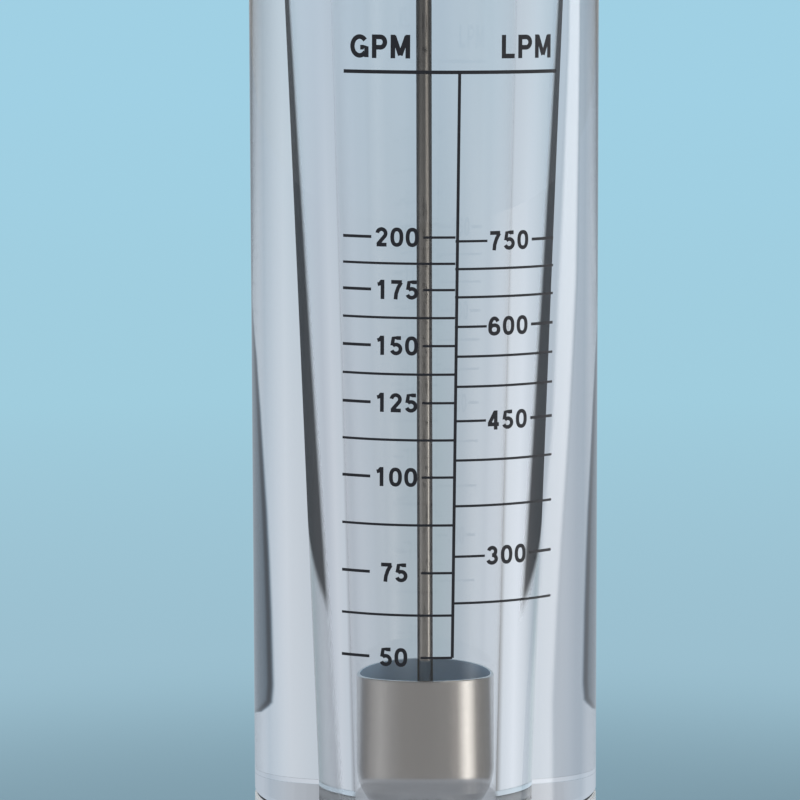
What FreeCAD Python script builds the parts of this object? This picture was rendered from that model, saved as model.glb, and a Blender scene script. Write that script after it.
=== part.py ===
import FreeCAD, Part
import math
import os
import re
import Sketcher

# In-line rotameter. A solid acrylic body with a tapered bore stands between two white moulded
# adapters, which are screwed over its threaded ends and carry a female pipe thread each. A steel
# float rides on a guide rod along the axis, and its top edge is read against the printed scale.
# The rod is clamped in two three-arm supports, held between each adapter and the body's end face.
#
# Millimetres. +Z runs along the axis with the flow, and z = 0 is the inlet adapter's end face.

SIZES = [
    # acrylic body, from the bore outwards
    ("taper_inlet_diameter", 45.2, "straight lower bore, and the taper's small end"),
    ("taper_outlet_diameter", 60.2, "taper's large end at the upper shoulder, and the bore above"),
    ("taper_start_height", 38.0, "lower end face to the small end of the taper"),
    ("entry_flare", 7.4, "how far the entry cone opens beyond the straight lower bore"),
    ("entry_depth", 10.0, "depth of the entry cone from the lower end face"),
    ("exit_chamfer", 1.0, "chamfer of the bore at the upper end face"),
    ("nose_wall", 13.4, "wall from the bore to the plain nose of each threaded end"),
    ("thread_step", 2.5, "step from the plain nose up to the thread"),
    ("shoulder_width", 9.0, "width of the shoulder outside the thread"),
    ("exposed_length", 276.0, "body between its two shoulders"),
    ("spigot_length", 34.0, "threaded end from shoulder to end face"),
    ("nose_length", 13.0, "plain nose of the threaded end"),
    ("thread_relief_width", 3.0, "undercut between thread and shoulder"),
    ("thread_relief_depth", 2.0, "depth of that undercut"),
    ("body_chamfer", 0.8, "chamfer of the shoulder edges and of the adapter rims"),
    ("nose_chamfer", 1.0, "lead chamfer of nose and thread"),
    # seals
    ("seal_groove_offset", 4.0, "end face to the near side of the seal groove"),
    ("seal_groove_width", 4.2, "width of the seal groove"),
    ("seal_groove_depth", 2.9, "depth of the seal groove below the nose"),
    ("seal_contact_gap", 0.02, "gap between the seal ring and what it seals against"),
    ("seal_bevel", 0.9, "bevels between the flats of the squeezed seal ring"),
    ("gasket_thickness", 1.0, "flat gasket between adapter rim and body shoulder"),
    ("gasket_inset", 0.5, "gasket edge inside the body's outer face"),
    # adapters
    ("pipe_thread_diameter", 72.23, "minor diameter of the female pipe thread"),
    ("pipe_thread_length", 34.0, "depth of the pipe thread"),
    ("pipe_mouth_chamfer", 2.5, "lead chamfer of the pipe thread"),
    ("pipe_wall", 11.9, "wall from the pipe thread to the wrench flats"),
    ("wrench_corner_rise", 3.4, "flats to the rounded corners of the wrench section"),
    ("wrench_length", 28.0, "length of the wrench section"),
    ("wrench_end_chamfer", 1.6, "chamfer of the wrench section's end face"),
    ("skirt_slope", 5.0, "height of the slope from wrench section to skirt"),
    ("web_thickness", 8.0, "web between the pipe thread and the rod support"),
    ("throat_lip", 2.4, "web showing inside the rim of the rod support"),
    ("ledge_width", 5.9, "ledge in the socket outside the rod support's seat"),
    ("nose_clearance", 0.2, "radial, body nose in the adapter's socket"),
    ("thread_clearance", 0.15, "radial, body thread in the adapter's socket"),
    # rod supports
    ("support_seat_clearance", 0.2, "radial, rod support in its seat"),
    ("support_rim_width", 4.2, "width of the rim"),
    ("support_rim_thickness", 4.0, "thickness of the rim"),
    ("support_hub_diameter", 16.0, "hub that holds the rod"),
    ("support_hub_height", 9.0, "height of the hub"),
    ("support_arm_width", 5.0, "width of an arm"),
    ("support_arm_height", 7.0, "height of an arm where it meets the hub"),
    ("support_gusset_length", 12.0, "hub to the point where an arm is as thin as the rim"),
    # guide rod and its fastenings
    ("rod_diameter", 5.0, "guide rod"),
    ("rod_thread_diameter", 4.0, "threaded ends of the guide rod"),
    ("rod_thread_projection", 1.7, "thread standing out of the nut"),
    ("rod_end_chamfer", 0.4, "chamfer of the rod's ends"),
    ("rod_hole_clearance", 0.1, "radial, threaded end in hub, washer and nut"),
    ("washer_width", 2.4, "ring width of the washer"),
    ("washer_thickness", 0.8, "thickness of the washer"),
    ("nut_wall", 1.4, "wall from the nut's hole to its flats"),
    ("nut_corner_rise", 0.5, "flats to the rounded corners of the nut"),
    ("nut_thickness", 3.2, "thickness of the nut"),
    ("nut_chamfer", 0.4, "corner chamfer of the nut"),
    # stops
    ("stop_rod_clearance", 0.05, "radial, bumpers and sleeve on the rod"),
    ("bumper_wall", 4.45, "wall of the rubber bumpers"),
    ("bumper_thickness", 10.6, "height of the rubber bumpers"),
    ("bumper_chamfer", 1.2, "chamfered edges of the rubber bumpers"),
    ("stop_sleeve_wall", 2.0, "wall of the upper stop sleeve"),
    ("stop_sleeve_length", 37.0, "length of the upper stop sleeve"),
    ("stop_clearance", 0.1, "float to either bumper at the ends of its travel"),
    # float
    ("float_bore_clearance", 0.6, "radial, float in the straight lower bore"),
    ("float_side_height", 34.0, "float's straight side, down to where side and cone would meet"),
    ("float_cone_height", 24.0, "cone below the side"),
    ("float_shoulder_radius", 20.0, "rounding between side and cone"),
    ("float_rim_width", 1.2, "edge around the float's top recess"),
    ("float_recess_depth", 12.0, "depth of the float's top recess"),
    ("float_recess_chamfer", 1.5, "corner left by the tool at the floor of the recess"),
    ("float_edge_chamfer", 0.3, "broken edges of the float's rim"),
    ("float_tip_land", 1.0, "flat at the tip outside the bush flange"),
    ("rod_running_clearance", 0.08, "radial, bush on the rod"),
    ("bush_wall", 1.9, "wall of the guide bushes"),
    ("bush_length", 12.0, "guide bush inside the float"),
    ("bush_flange_width", 2.5, "flange of the guide bushes"),
    ("bush_flange_thickness", 1.5, "thickness of that flange"),
    ("bush_press_clearance", 0.01, "radial, bush in the float"),
]

SUPPORT_ARMS = 3
WRENCH_SIDES = 8
NUT_SIDES = 6
SAME_PLACE = 1e-5

# Radii, each worked out from its neighbour.
BORE = "taper_outlet_diameter / 2"
NOSE = f"{BORE} + nose_wall"
THREAD = f"{NOSE} + thread_step"
BODY = f"{THREAD} + shoulder_width"
SOCKET_NOSE = f"{NOSE} + nose_clearance"
SOCKET_THREAD = f"{THREAD} + thread_clearance"
SUPPORT_SEAT = f"{SOCKET_NOSE} - ledge_width"
SUPPORT_RIM = f"{SUPPORT_SEAT} - support_seat_clearance"
SUPPORT_RIM_INNER = f"{SUPPORT_RIM} - support_rim_width"
THROAT = f"{SUPPORT_RIM_INNER} - throat_lip"
PIPE_THREAD = "pipe_thread_diameter / 2"
WRENCH_FLAT = f"{PIPE_THREAD} + pipe_wall"
WRENCH_CORNER = f"{WRENCH_FLAT} + wrench_corner_rise"
ROD = "rod_diameter / 2"
ROD_THREAD = "rod_thread_diameter / 2"
ROD_HOLE = f"{ROD_THREAD} + rod_hole_clearance"
STOP_HOLE = f"{ROD} + stop_rod_clearance"
FLOAT = "taper_inlet_diameter / 2 - float_bore_clearance"
BUSH_HOLE = f"{ROD} + rod_running_clearance"
BUSH = f"{BUSH_HOLE} + bush_wall"
BUSH_FLANGE = f"{BUSH} + bush_flange_width"
FLOAT_BORE = f"{BUSH} + bush_press_clearance"

# Heights above the inlet's end face.
SUPPORT_FLOOR = "pipe_thread_length + web_thickness"
BODY_FLOOR = f"{SUPPORT_FLOOR} + support_rim_thickness"
SHOULDER = f"{BODY_FLOOR} + spigot_length"
ADAPTER_HEIGHT = f"{SHOULDER} - gasket_thickness"
BODY_LENGTH = "exposed_length + 2 * spigot_length"
METER_HEIGHT = f"2 * ({BODY_FLOOR}) + {BODY_LENGTH}"
HUB_TOP = f"{SUPPORT_FLOOR} + support_hub_height"
FLOAT_HEIGHT = "float_side_height + float_cone_height"
FLOAT_BASE = f"{HUB_TOP} + bumper_thickness + stop_clearance + bush_flange_thickness"
FLOAT_FLOOR = f"{FLOAT_HEIGHT} - float_recess_depth"


def formula(text):
    """The text as a FreeCAD expression: each name in it is a size in the sheet."""
    return re.sub(r"[a-z][a-z_]+", r"Sizes.\g<0>", text)


def from_outlet(height):
    """A height counted down from the outlet adapter's end face."""
    return f"{METER_HEIGHT} - ({height})"


def new_body(label, height, flipped=False):
    """An empty body whose own z = 0 is at the given height; a flipped one hangs down from it."""
    body = document.addObject("PartDesign::Body", label)
    body.Label = label
    if flipped:
        end_for_end = FreeCAD.Rotation(FreeCAD.Vector(0, 1, 0), 180)
        body.Placement = FreeCAD.Placement(FreeCAD.Vector(0, 0, 0), end_for_end)
    body.setExpression(".Placement.Base.z", formula(height))
    return body


def new_end_body(label, height, flipped):
    """A body of one end of the meter, at a height counted from that end's own face."""
    return new_body(label, from_outlet(height) if flipped else height, flipped)


def origin_item(body, role):
    """One of the body's own origin planes or axes."""
    return [item for item in body.Origin.OriginFeatures if item.Role == role][0]


def new_sketch(body, role, name):
    """A sketch on one of the body's own origin planes."""
    sketch = body.newObject("Sketcher::SketchObject", f"{body.Label}_{name}")
    sketch.AttachmentSupport = (origin_item(body, role), [""])
    sketch.MapMode = "FlatFace"
    return sketch


def new_feature(body, kind, name, profile):
    """A feature made from a sketch, which becomes the body's tip."""
    feature = body.newObject(f"PartDesign::{kind}", f"{body.Label}_{name}")
    feature.Profile = profile
    body.Tip = feature
    return feature


def bind_point(sketch, element, point, across, up):
    """Ties a point's two coordinates to their formulas."""
    for kind, text in (("DistanceX", across), ("DistanceY", up)):
        index = sketch.addConstraint(Sketcher.Constraint(kind, -1, 1, element, point, 1.0))
        sketch.setExpression(f"Constraints[{index}]", formula(text))


def draw_outline(sketch, corners):
    """A closed outline of straight lines, whose corners are pairs of formulas."""
    count = len(corners)
    step = 2 * math.pi / count
    start = [FreeCAD.Vector(math.cos(step * n), math.sin(step * n), 0) for n in range(count)]
    for n in range(count):
        sketch.addGeometry(Part.LineSegment(start[n], start[(n + 1) % count]))
    for n in range(count):
        sketch.addConstraint(Sketcher.Constraint("Coincident", n, 2, (n + 1) % count, 1))
    for n, (across, up) in enumerate(corners):
        bind_point(sketch, n, 1, across, up)


def draw_circle(sketch, radius, across="0", up="0"):
    """A circle whose centre and radius are formulas."""
    circle = Part.Circle(FreeCAD.Vector(0, 0, 0), FreeCAD.Vector(0, 0, 1), 1.0)
    element = sketch.addGeometry(circle)
    bind_point(sketch, element, 3, across, up)
    index = sketch.addConstraint(Sketcher.Constraint("Radius", element, 1.0))
    sketch.setExpression(f"Constraints[{index}]", formula(radius))


def revolve(body, sketch, name):
    """Turns a sketch in the XZ plane about the body's axis."""
    feature = new_feature(body, "Revolution", name, sketch)
    feature.ReferenceAxis = (sketch, ["V_Axis"])
    feature.Angle = 360
    return feature


def turn(body, corners, name="turning"):
    """Turns a half section, given as (radius, height) corners, about the body's axis."""
    sketch = new_sketch(body, "XZ_Plane", f"{name}_section")
    draw_outline(sketch, corners)
    return revolve(body, sketch, name)


def turned_ring(body, inner, outer, thickness):
    """A plain ring standing on the body's own z = 0."""
    corners = [(inner, "0"), (outer, "0"), (outer, thickness), (inner, thickness)]
    return turn(body, corners)


def round_edge(body, edge_radius, edge_height, rounding):
    """Rounds the one circular edge of that radius at that height in the body."""
    base = body.Tip
    names = []
    for index, edge in enumerate(base.Shape.Edges, start=1):
        if not isinstance(edge.Curve, Part.Circle):
            continue
        across = edge.Curve.Radius - edge_radius
        up = edge.Curve.Center.z - edge_height
        if math.hypot(across, up) < SAME_PLACE:
            names.append(f"Edge{index}")
    fillet = body.newObject("PartDesign::Fillet", f"{body.Label}_rounding")
    fillet.Base = (base, names)
    fillet.setExpression("Radius", formula(rounding))
    body.Tip = fillet


def cut_flats(body, sides, flat, blank, length):
    """Cuts the flats of a wrench section out of a turned blank, from the body's z = 0 up."""
    sketch = new_sketch(body, "XY_Plane", "flats_outline")
    half = math.pi / sides
    corners = []
    for n in range(sides):
        angle = (2 * n + 1) * half
        across = round(math.cos(angle) / math.cos(half), 9)
        up = round(math.sin(angle) / math.cos(half), 9)
        corners.append((f"({across}) * ({flat})", f"({up}) * ({flat})"))
    draw_outline(sketch, corners)
    draw_circle(sketch, f"2 * ({blank})")
    pocket = new_feature(body, "Pocket", "flats", sketch)
    pocket.Reversed = True
    pocket.setExpression("Length", formula(length))


def bore_hole(body, radius, length):
    """A round hole on the body's axis, from its z = 0 up."""
    sketch = new_sketch(body, "XY_Plane", "hole_outline")
    draw_circle(sketch, radius)
    pocket = new_feature(body, "Pocket", "hole", sketch)
    pocket.Reversed = True
    pocket.setExpression("Length", formula(length))


def make_metering_tube():
    """Acrylic body: machined all over from a solid bar, bored to a taper and polished."""
    entry = "taper_inlet_diameter / 2 + entry_flare"
    groove_floor = f"{NOSE} - seal_groove_depth"
    relief = f"{THREAD} - thread_relief_depth"
    lower_end = [
        (f"{NOSE} - nose_chamfer", "0"),
        (NOSE, "nose_chamfer"),
        (NOSE, "seal_groove_offset"),
        (groove_floor, "seal_groove_offset"),
        (groove_floor, "seal_groove_offset + seal_groove_width"),
        (NOSE, "seal_groove_offset + seal_groove_width"),
        (NOSE, "nose_length"),
        (f"{THREAD} - nose_chamfer", "nose_length"),
        (THREAD, "nose_length + nose_chamfer"),
        (THREAD, "spigot_length - thread_relief_width"),
        (relief, "spigot_length - thread_relief_width"),
        (relief, "spigot_length"),
        (f"{BODY} - body_chamfer", "spigot_length"),
        (BODY, "spigot_length + body_chamfer"),
    ]
    upper_end = [(radius, f"{BODY_LENGTH} - ({height})") for radius, height in lower_end]
    bore = [
        (f"{BORE} + exit_chamfer", BODY_LENGTH),
        (BORE, f"{BODY_LENGTH} - exit_chamfer"),
        (BORE, f"{BODY_LENGTH} - spigot_length"),
        ("taper_inlet_diameter / 2", "taper_start_height"),
        ("taper_inlet_diameter / 2", "entry_depth"),
        (entry, "0"),
    ]
    body = new_body("metering_tube", BODY_FLOOR)
    turn(body, lower_end + upper_end[::-1] + bore)


def make_adapter(label, flipped):
    """White moulded adapter: pipe thread outside, socket for the body's threaded end inside."""
    corners = [
        (f"{PIPE_THREAD} + pipe_mouth_chamfer", "0"),
        (f"{WRENCH_CORNER} - wrench_end_chamfer", "0"),
        (WRENCH_CORNER, "wrench_end_chamfer"),
        (WRENCH_CORNER, "wrench_length"),
        (BODY, "wrench_length + skirt_slope"),
        (BODY, f"{ADAPTER_HEIGHT} - body_chamfer"),
        (f"{BODY} - body_chamfer", ADAPTER_HEIGHT),
        (f"{SOCKET_THREAD} + nose_chamfer", ADAPTER_HEIGHT),
        (SOCKET_THREAD, f"{ADAPTER_HEIGHT} - nose_chamfer"),
        (SOCKET_THREAD, f"{BODY_FLOOR} + nose_length"),
        (f"{SOCKET_NOSE} + nose_chamfer", f"{BODY_FLOOR} + nose_length"),
        (SOCKET_NOSE, f"{BODY_FLOOR} + nose_length - nose_chamfer"),
        (SOCKET_NOSE, BODY_FLOOR),
        (SUPPORT_SEAT, BODY_FLOOR),
        (SUPPORT_SEAT, SUPPORT_FLOOR),
        (THROAT, SUPPORT_FLOOR),
        (THROAT, "pipe_thread_length"),
        (PIPE_THREAD, "pipe_thread_length"),
        (PIPE_THREAD, "pipe_mouth_chamfer"),
    ]
    body = new_end_body(label, "0", flipped)
    turn(body, corners)
    cut_flats(body, WRENCH_SIDES, WRENCH_FLAT, WRENCH_CORNER, "wrench_length")


def make_seal_ring(label, flipped):
    """Rubber ring in the nose's groove, squeezed flat where it meets groove floor and socket."""
    seat = "(seal_groove_depth + nose_clearance) / 2"
    centre = f"{SOCKET_NOSE} - {seat}"
    flat = f"({seat} - seal_contact_gap)"
    bevelled = f"({flat} - seal_bevel)"
    corners = [
        (f"{centre} - {bevelled}", f"-{flat}"),
        (f"{centre} + {bevelled}", f"-{flat}"),
        (f"{centre} + {flat}", f"-{bevelled}"),
        (f"{centre} + {flat}", bevelled),
        (f"{centre} + {bevelled}", flat),
        (f"{centre} - {bevelled}", flat),
        (f"{centre} - {flat}", bevelled),
        (f"{centre} - {flat}", f"-{bevelled}"),
    ]
    middle = f"{BODY_FLOOR} + seal_groove_offset + seal_groove_width / 2"
    turn(new_end_body(label, middle, flipped), corners)


def make_gasket(label, flipped):
    """Flat rubber gasket, the dark line between an adapter's rim and the body's shoulder."""
    body = new_end_body(label, ADAPTER_HEIGHT, flipped)
    inner = f"{SOCKET_THREAD} + nose_chamfer"
    turned_ring(body, inner, f"{BODY} - gasket_inset", "gasket_thickness")


def make_rod_support(label, flipped):
    """Moulded rod support: a rim clamped under the body's end face, three arms and a hub."""
    body = new_end_body(label, SUPPORT_FLOOR, flipped)
    hub = "support_hub_diameter / 2"
    middle_of_rim = f"{SUPPORT_RIM_INNER} + support_rim_width / 2"
    arm_sketch = new_sketch(body, "YZ_Plane", "arm_outline")
    arm_corners = [
        ("0", "0"),
        (middle_of_rim, "0"),
        (middle_of_rim, "support_rim_thickness"),
        (f"{hub} + support_gusset_length", "support_rim_thickness"),
        (hub, "support_arm_height"),
        ("0", "support_arm_height"),
    ]
    draw_outline(arm_sketch, arm_corners)
    arm = new_feature(body, "Pad", "arm", arm_sketch)
    arm.SideType = "Symmetric"
    arm.setExpression("Length", formula("support_arm_width"))
    document.recompute()
    arms = body.newObject("PartDesign::PolarPattern", f"{label}_arms")
    arms.Originals = [arm]
    arms.Axis = (origin_item(body, "Z_Axis"), [""])
    arms.Angle = 360
    arms.Occurrences = SUPPORT_ARMS
    body.Tip = arms
    rim_corners = [
        (SUPPORT_RIM_INNER, "0"),
        (SUPPORT_RIM, "0"),
        (SUPPORT_RIM, "support_rim_thickness"),
        (SUPPORT_RIM_INNER, "support_rim_thickness"),
    ]
    turn(body, rim_corners, "rim")
    hub_corners = [("0", "0"), (hub, "0"), (hub, "support_hub_height"), ("0", "support_hub_height")]
    turn(body, hub_corners, "hub")
    bore_hole(body, ROD_HOLE, "support_hub_height")


def make_guide_rod():
    """Ground steel rod; its shoulders meet the two hubs, and its ends are threaded."""
    end = "support_hub_height + washer_thickness + nut_thickness + rod_thread_projection"
    start = f"{HUB_TOP} - ({end})"
    lower_end = [
        ("0", "0"),
        (f"{ROD_THREAD} - rod_end_chamfer", "0"),
        (ROD_THREAD, "rod_end_chamfer"),
        (ROD_THREAD, end),
        (ROD, end),
    ]
    length = f"{METER_HEIGHT} - 2 * ({start})"
    upper_end = [(radius, f"{length} - ({height})") for radius, height in lower_end]
    body = new_body("guide_rod", start)
    turn(body, lower_end + upper_end[::-1])


def make_washer(label, flipped):
    """Steel washer between hub and nut."""
    body = new_end_body(label, f"{SUPPORT_FLOOR} - washer_thickness", flipped)
    turned_ring(body, ROD_HOLE, f"{ROD_HOLE} + washer_width", "washer_thickness")


def make_nut(label, flipped):
    """Hexagon nut that clamps the rod to its support."""
    flat = f"{ROD_HOLE} + nut_wall"
    corner = f"{flat} + nut_corner_rise"
    corners = [
        (ROD_HOLE, "0"),
        (flat, "0"),
        (corner, "nut_chamfer"),
        (corner, "nut_thickness - nut_chamfer"),
        (flat, "nut_thickness"),
        (ROD_HOLE, "nut_thickness"),
    ]
    body = new_end_body(label, f"{SUPPORT_FLOOR} - washer_thickness - nut_thickness", flipped)
    turn(body, corners)
    cut_flats(body, NUT_SIDES, flat, corner, "nut_thickness")


def make_bumper(label, height, flipped):
    """Rubber cushion on the rod, which stops the float."""
    outer = f"{STOP_HOLE} + bumper_wall"
    corners = [
        (STOP_HOLE, "0"),
        (f"{outer} - bumper_chamfer", "0"),
        (outer, "bumper_chamfer"),
        (outer, "bumper_thickness - bumper_chamfer"),
        (f"{outer} - bumper_chamfer", "bumper_thickness"),
        (STOP_HOLE, "bumper_thickness"),
    ]
    turn(new_end_body(label, height, flipped), corners)


def make_stop_sleeve():
    """Plastic sleeve that holds the upper bumper down from the upper support."""
    body = new_end_body("upper_stop_sleeve", HUB_TOP, True)
    turned_ring(body, STOP_HOLE, f"{STOP_HOLE} + stop_sleeve_wall", "stop_sleeve_length")


def make_float():
    """Turned steel float: straight side, rounded cone below, a cup turned into its top."""
    recess = f"{FLOAT} - float_rim_width"
    corners = [
        (FLOAT_BORE, "0"),
        (f"{BUSH_FLANGE} + float_tip_land", "0"),
        (FLOAT, "float_cone_height"),
        (FLOAT, f"{FLOAT_HEIGHT} - float_edge_chamfer"),
        (f"{FLOAT} - float_edge_chamfer", FLOAT_HEIGHT),
        (recess, FLOAT_HEIGHT),
        (recess, f"{FLOAT_FLOOR} + float_recess_chamfer"),
        (f"{recess} - float_recess_chamfer", FLOAT_FLOOR),
        (FLOAT_BORE, FLOAT_FLOOR),
    ]
    body = new_body("float", FLOAT_BASE)
    turning = turn(body, corners)
    document.recompute()
    shoulder = turning.Profile[0].getPoint(2, 1)
    round_edge(body, shoulder.x, shoulder.y, "float_shoulder_radius")


def make_bush(label, height, flipped):
    """PTFE guide bush pressed into the float; its own z = 0 is the flange's outer face."""
    inner_end = "bush_flange_thickness + bush_length"
    corners = [
        (BUSH_HOLE, "0"),
        (BUSH_FLANGE, "0"),
        (BUSH_FLANGE, "bush_flange_thickness"),
        (BUSH, "bush_flange_thickness"),
        (BUSH, inner_end),
        (BUSH_HOLE, inner_end),
    ]
    turn(new_body(label, height, flipped), corners)


document = FreeCAD.newDocument("Rotameter")
sheet = document.addObject("Spreadsheet::Sheet", "Sizes")
for row, (alias, value, meaning) in enumerate(SIZES, start=1):
    sheet.set(f"A{row}", alias)
    sheet.set(f"B{row}", str(value))
    sheet.setAlias(f"B{row}", alias)
    sheet.set(f"C{row}", meaning)
document.recompute()

make_metering_tube()
for port, end, at_outlet in (("inlet", "lower", False), ("outlet", "upper", True)):
    make_adapter(f"{port}_adapter", at_outlet)
    make_seal_ring(f"{port}_seal_ring", at_outlet)
    make_gasket(f"{port}_gasket", at_outlet)
    make_rod_support(f"{end}_rod_support", at_outlet)
    make_washer(f"{end}_rod_washer", at_outlet)
    make_nut(f"{end}_rod_nut", at_outlet)
make_guide_rod()
make_bumper("lower_bumper", HUB_TOP, False)
make_stop_sleeve()
make_bumper("upper_bumper", f"{HUB_TOP} + stop_sleeve_length", True)
make_float()
make_bush("float_lower_bush", f"{FLOAT_BASE} - bush_flange_thickness", False)
make_bush("float_upper_bush", f"{FLOAT_BASE} + {FLOAT_FLOOR} + bush_flange_thickness", True)
document.recompute()

for item in document.Objects:
    if "Invalid" in item.State or "Error" in item.State:
        raise RuntimeError(f"{item.Label} failed: {item.State}")
bodies = [item for item in document.Objects if item.TypeId == "PartDesign::Body"]
for body in bodies:
    if body.Shape.isNull() or not body.Shape.isValid() or len(body.Shape.Solids) != 1:
        raise RuntimeError(f"{body.Label} is not one valid solid")

os.makedirs("parts", exist_ok=True)
for body in bodies:
    body.Shape.exportStep(os.path.join("parts", f"{body.Label}.step"))
    print(f"{body.Label}: {body.Shape.Volume / 1000:.2f} cm3")
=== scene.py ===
import math

import bmesh
import bpy
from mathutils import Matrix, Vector


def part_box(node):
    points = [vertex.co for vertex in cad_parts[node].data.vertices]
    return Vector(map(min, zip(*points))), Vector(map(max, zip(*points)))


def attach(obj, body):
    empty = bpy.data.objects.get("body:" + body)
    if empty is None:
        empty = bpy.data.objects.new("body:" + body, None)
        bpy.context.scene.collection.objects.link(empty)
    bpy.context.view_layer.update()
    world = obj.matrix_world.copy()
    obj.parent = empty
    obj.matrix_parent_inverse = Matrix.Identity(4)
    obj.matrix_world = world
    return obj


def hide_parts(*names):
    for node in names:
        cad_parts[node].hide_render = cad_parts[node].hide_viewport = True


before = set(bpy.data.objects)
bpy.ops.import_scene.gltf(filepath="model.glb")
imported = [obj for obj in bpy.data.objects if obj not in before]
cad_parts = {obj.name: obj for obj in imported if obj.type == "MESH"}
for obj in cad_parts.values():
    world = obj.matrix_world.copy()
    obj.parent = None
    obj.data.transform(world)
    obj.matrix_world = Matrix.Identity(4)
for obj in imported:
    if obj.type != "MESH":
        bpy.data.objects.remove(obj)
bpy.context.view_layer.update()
mm = 0.001

# Metering tube. One solid acrylic bar, 110 mm across, turned down to a threaded spigot at each
# end and bored to a taper. The outside and the bore are polished clear, and the turned ends stay
# frosted. Each spigot is screwed into an adapter, which pulls the shoulder down on a gasket.
tube_low, tube_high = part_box("metering_tube")
tube_radius = tube_high.x
spigot_length = 34 * mm
lower_shoulder = tube_low.z + spigot_length
upper_shoulder = tube_high.z - spigot_length
thread_radius = tube_radius - 9 * mm
relief_radius = thread_radius - 2 * mm
nose_radius = thread_radius - 2.5 * mm
shoulder_rounding = 0.2 * mm
bore_small = 22.6 * mm
bore_large = 30.1 * mm
bore_entry = 30.0 * mm
spigot_pitch = 3.0 * mm
spigot_thread_depth = 1.8 * mm
dry_joint = 0.03 * mm
close_enough = 0.01 * mm
sharp_edge = math.radians(25)
TURN_SIDES = 256


def put_in_scene(name, work):
    """An object of that name for a finished bmesh."""
    mesh = bpy.data.meshes.new(name)
    work.to_mesh(mesh)
    work.free()
    piece = bpy.data.objects.new(name, mesh)
    bpy.context.scene.collection.objects.link(piece)
    return piece


def spin(name, outline, carve=None):
    """Turns a closed (radius, height) outline about the axis, with an optional carving rule."""
    work = bmesh.new()
    rings = []
    for radius, height in outline:
        ring = []
        for step in range(TURN_SIDES):
            angle = 2 * math.pi * step / TURN_SIDES
            reach = carve(radius, height, angle) if carve else radius
            ring.append(work.verts.new((reach * math.sin(angle), -reach * math.cos(angle), height)))
        rings.append(ring)
    for ring, following in zip(rings, rings[1:] + rings[:1]):
        for step in range(TURN_SIDES):
            after = (step + 1) % TURN_SIDES
            work.faces.new((ring[step], ring[after], following[after], following[step]))
    bmesh.ops.recalc_face_normals(work, faces=work.faces)
    piece = put_in_scene(name, work)
    piece.data.shade_smooth()
    piece.data.set_sharp_from_angle(angle=sharp_edge)
    return piece


def soften(corners, rounding, steps=3):
    """The closed outline with each corner replaced by a small arc."""
    result = []
    count = len(corners)
    for n in range(count):
        here = Vector(corners[n])
        before = Vector(corners[n - 1]) - here
        after = Vector(corners[(n + 1) % count]) - here
        reach = min(rounding, before.length * 0.45, after.length * 0.45)
        start = here + before.normalized() * reach
        end = here + after.normalized() * reach
        for step in range(steps + 1):
            t = step / steps
            point = start * (1 - t) ** 2 + here * 2 * t * (1 - t) + end * t ** 2
            result.append((point.x, point.y))
    return result


def thread_groove(turns):
    """Depth share of a thread's groove, 0 on the crest to 1 at the root, after that many turns."""
    place = turns % 1
    rise = abs(place - 0.5) * 2
    return min(max((0.86 - rise) / 0.7, 0), 1)


def spigot_outline(base, up):
    """Half section of one threaded end, from its end face to the edge of the shoulder."""
    groove_floor = nose_radius - 2.9 * mm
    corners = [
        (nose_radius - 1 * mm, 0),
        (nose_radius, 1 * mm),
        (nose_radius, 4 * mm),
        (groove_floor, 4 * mm),
        (groove_floor, 8.2 * mm),
        (nose_radius, 8.2 * mm),
        (nose_radius, 13 * mm),
        (thread_radius - 1 * mm, 13 * mm),
    ]
    rows = 72
    for row in range(rows + 1):
        corners.append((thread_radius, 14 * mm + 17 * mm * row / rows))
    corners += [(relief_radius, 31 * mm), (relief_radius, spigot_length)]
    return [(radius, base + up * height) for radius, height in corners]


def cut_spigot_thread(radius, height, angle):
    """Winds the groove of the body thread into both spigots."""
    if abs(radius - thread_radius) > close_enough:
        return radius
    groove = thread_groove(height / spigot_pitch - angle / (2 * math.pi))
    return radius - spigot_thread_depth * groove


outside = [
    (relief_radius, lower_shoulder + dry_joint),
    (tube_radius, lower_shoulder + dry_joint),
    (tube_radius, upper_shoulder - dry_joint),
    (relief_radius, upper_shoulder - dry_joint),
]
bore = [
    (bore_large + 1 * mm, tube_high.z),
    (bore_large, tube_high.z - 1 * mm),
    (bore_large, upper_shoulder),
    (bore_small, tube_low.z + 38 * mm),
    (bore_small, tube_low.z + 10 * mm),
    (bore_entry, tube_low.z),
]
tube_outline = spigot_outline(tube_low.z, 1) + soften(outside, shoulder_rounding)[4:12]
tube_outline += spigot_outline(tube_high.z, -1)[::-1] + bore
metering_tube = spin("clear_metering_tube", tube_outline, carve=cut_spigot_thread)


def new_finish(name):
    """An empty material with its nodes, links and shader."""
    finish = bpy.data.materials.new(name)
    finish.use_nodes = True
    tree = finish.node_tree
    return finish, tree.nodes, tree.links, tree.nodes["Principled BSDF"]


def add_node(nodes, kind, second=None, **settings):
    """A node of that kind; capital names are its input sockets, the others its own settings."""
    node = nodes.new(f"ShaderNode{kind}")
    if second is not None:
        node.inputs[1].default_value = second
    for name, value in settings.items():
        if name[0].isupper():
            node.inputs[name.replace("_", " ")].default_value = value
        else:
            setattr(node, name, value)
    return node


def add_grain(nodes, links, shader, grain, depth, strength=1.0):
    """Fine unevenness of that grain size, as bump on the shader."""
    place = add_node(nodes, "TexCoord")
    noise = add_node(nodes, "TexNoise", Scale=1 / grain, Detail=4.0)
    bump = add_node(nodes, "Bump", Strength=strength, Distance=depth)
    links.new(place.outputs["Object"], noise.inputs["Vector"])
    links.new(noise.outputs["Fac"], bump.inputs["Height"])
    links.new(bump.outputs["Normal"], shader.inputs["Normal"])
    return noise


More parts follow.
